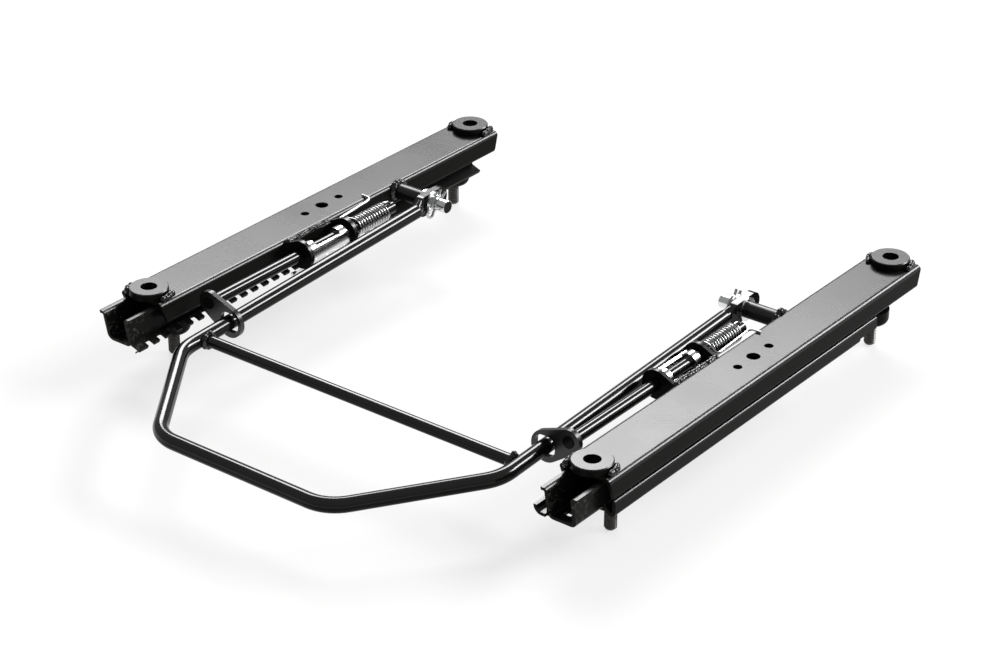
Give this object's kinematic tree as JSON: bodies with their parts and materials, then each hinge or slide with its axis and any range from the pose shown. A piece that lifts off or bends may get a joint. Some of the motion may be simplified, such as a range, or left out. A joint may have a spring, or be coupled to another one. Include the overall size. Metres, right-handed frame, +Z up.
{
  "type": "seat slide rail",
  "caption": "Pair of floor-mounted seat slide rails with toothed racks, sprung latches on rods and a bent bar release handle with a cross bar.",
  "frame": {"origin": "middle of the four floor studs, on the plane of the feet that rests on the floor", "axes": "+X across the pair towards the right rail, +Y along the rails to the rear, +Z up; the handle points to -Y"},
  "size_m": [0.392, 0.4605, 0.057],
  "materials": {
    "rail_enamel": "glossy black stoved enamel on folded steel",
    "bracket_enamel": "glossy black enamel",
    "rod_enamel": "glossy black enamel",
    "handle_enamel": "glossy black enamel on bent bar",
    "stud_black": "black oxide on threaded steel",
    "latch_zinc": "bright zinc plate",
    "spring_zinc": "bright zinc plated spring wire",
    "pivot_zinc": "bright zinc plate",
    "bearing_steel": "ground bearing steel, greased",
    "cage_steel": "bare pressed strip"
  },
  "bodies": {
    "lower_rails": {"left_lower_rail": "rail_enamel", "left_front_foot": "rail_enamel", "left_rear_foot": "rail_enamel", "left_front_stud": "stud_black", "left_rear_stud": "stud_black", "right_lower_rail": "rail_enamel", "right_front_foot": "rail_enamel", "right_rear_foot": "rail_enamel", "right_front_stud": "stud_black", "right_rear_stud": "stud_black"},
    "left_upper": {"left_upper_rail": "rail_enamel", "left_front_ring": "rail_enamel", "left_rear_ring": "rail_enamel", "left_latch_bracket": "bracket_enamel", "left_latch_spring": "spring_zinc", "left_pivot_sleeve": "bracket_enamel", "left_pivot_pin": "pivot_zinc", "left_inner_pivot_washer": "pivot_zinc", "left_outer_pivot_washer": "pivot_zinc", "left_hairpin_clip": "pivot_zinc"},
    "left_latch_set": {"left_latch_rod": "rod_enamel", "left_latch": "latch_zinc", "left_link_plate": "rod_enamel"},
    "left_rolling_set": {"left_balls": "bearing_steel", "left_inner_ball_cage": "cage_steel", "left_outer_ball_cage": "cage_steel"},
    "left_front_roller_body": {"left_front_roller": "bearing_steel"},
    "left_rear_roller_body": {"left_rear_roller": "bearing_steel"},
    "right_upper": {"right_upper_rail": "rail_enamel", "right_front_ring": "rail_enamel", "right_rear_ring": "rail_enamel", "right_latch_bracket": "bracket_enamel", "right_latch_spring": "spring_zinc", "right_pivot_sleeve": "bracket_enamel", "right_pivot_pin": "pivot_zinc", "right_inner_pivot_washer": "pivot_zinc", "right_outer_pivot_washer": "pivot_zinc", "right_hairpin_clip": "pivot_zinc"},
    "right_latch_set": {"right_latch_rod": "rod_enamel", "right_latch": "latch_zinc", "right_link_plate": "rod_enamel"},
    "right_rolling_set": {"right_balls": "bearing_steel", "right_inner_ball_cage": "cage_steel", "right_outer_ball_cage": "cage_steel"},
    "right_front_roller_body": {"right_front_roller": "bearing_steel"},
    "right_rear_roller_body": {"right_rear_roller": "bearing_steel"},
    "handle": {"handle": "handle_enamel", "cross_bar": "handle_enamel"}
  },
  "joints": [
    {"name": "left_slide", "type": "slide", "parent": "lower_rails", "child": "left_upper", "axis": [0, 1, 0], "range_m": [-0.0945, 0.0525]},
    {"name": "left_rolling_slide", "type": "slide", "parent": "lower_rails", "child": "left_rolling_set", "axis": [0, 1, 0], "range_m": [-0.04725, 0.02625]},
    {"name": "left_front_roller_spin", "type": "hinge", "parent": "left_rolling_set", "child": "left_front_roller_body", "pos_m": [-0.1777, -0.08, 0.02295], "axis": [-1, 0, 0], "range_deg": [-276, 154]},
    {"name": "left_rear_roller_spin", "type": "hinge", "parent": "left_rolling_set", "child": "left_rear_roller_body", "pos_m": [-0.1777, 0.095, 0.02295], "axis": [-1, 0, 0], "range_deg": [-276, 154]},
    {"name": "right_slide", "type": "slide", "parent": "lower_rails", "child": "right_upper", "axis": [0, 1, 0], "range_m": [-0.0945, 0.0525]},
    {"name": "right_rolling_slide", "type": "slide", "parent": "lower_rails", "child": "right_rolling_set", "axis": [0, 1, 0], "range_m": [-0.04725, 0.02625]},
    {"name": "right_front_roller_spin", "type": "hinge", "parent": "right_rolling_set", "child": "right_front_roller_body", "pos_m": [0.1777, -0.08, 0.02295], "axis": [-1, 0, 0], "range_deg": [-276, 154]},
    {"name": "right_rear_roller_spin", "type": "hinge", "parent": "right_rolling_set", "child": "right_rear_roller_body", "pos_m": [0.1777, 0.095, 0.02295], "axis": [-1, 0, 0], "range_deg": [-276, 154]},
    {"name": "handle_lift", "type": "hinge", "parent": "left_upper", "child": "handle", "pos_m": [-0.1305, 0.0625, 0.03], "axis": [-1, 0, 0], "range_deg": [-1, 1]},
    {"name": "left_latch_turn", "type": "hinge", "parent": "left_upper", "child": "left_latch_set", "pos_m": [-0.145, -0.03, 0.03], "axis": [0, -1, 0], "range_deg": [-12, 12], "stiffness_Nm_per_rad": 0.6, "springref_deg": -34.38, "deforming": ["left_latch_spring"]},
    {"name": "right_latch_turn", "type": "hinge", "parent": "right_upper", "child": "right_latch_set", "pos_m": [0.145, -0.03, 0.03], "axis": [0, 1, 0], "range_deg": [-12, 12], "stiffness_Nm_per_rad": 0.6, "springref_deg": -34.38, "deforming": ["right_latch_spring"]}
  ],
  "couplings": [
    {"joint": "right_slide", "follows": "left_slide", "ratio": 1},
    {"joint": "left_rolling_slide", "follows": "left_slide", "ratio": 0.5},
    {"joint": "left_front_roller_spin", "follows": "left_slide", "rad_per_m": 50.761},
    {"joint": "left_rear_roller_spin", "follows": "left_slide", "rad_per_m": 50.761},
    {"joint": "right_rolling_slide", "follows": "left_slide", "ratio": 0.5},
    {"joint": "right_front_roller_spin", "follows": "left_slide", "rad_per_m": 50.761},
    {"joint": "right_rear_roller_spin", "follows": "left_slide", "rad_per_m": 50.761},
    {"joint": "left_latch_turn", "follows": "handle_lift", "ratio": 12},
    {"joint": "right_latch_turn", "follows": "handle_lift", "ratio": 12}
  ]
}
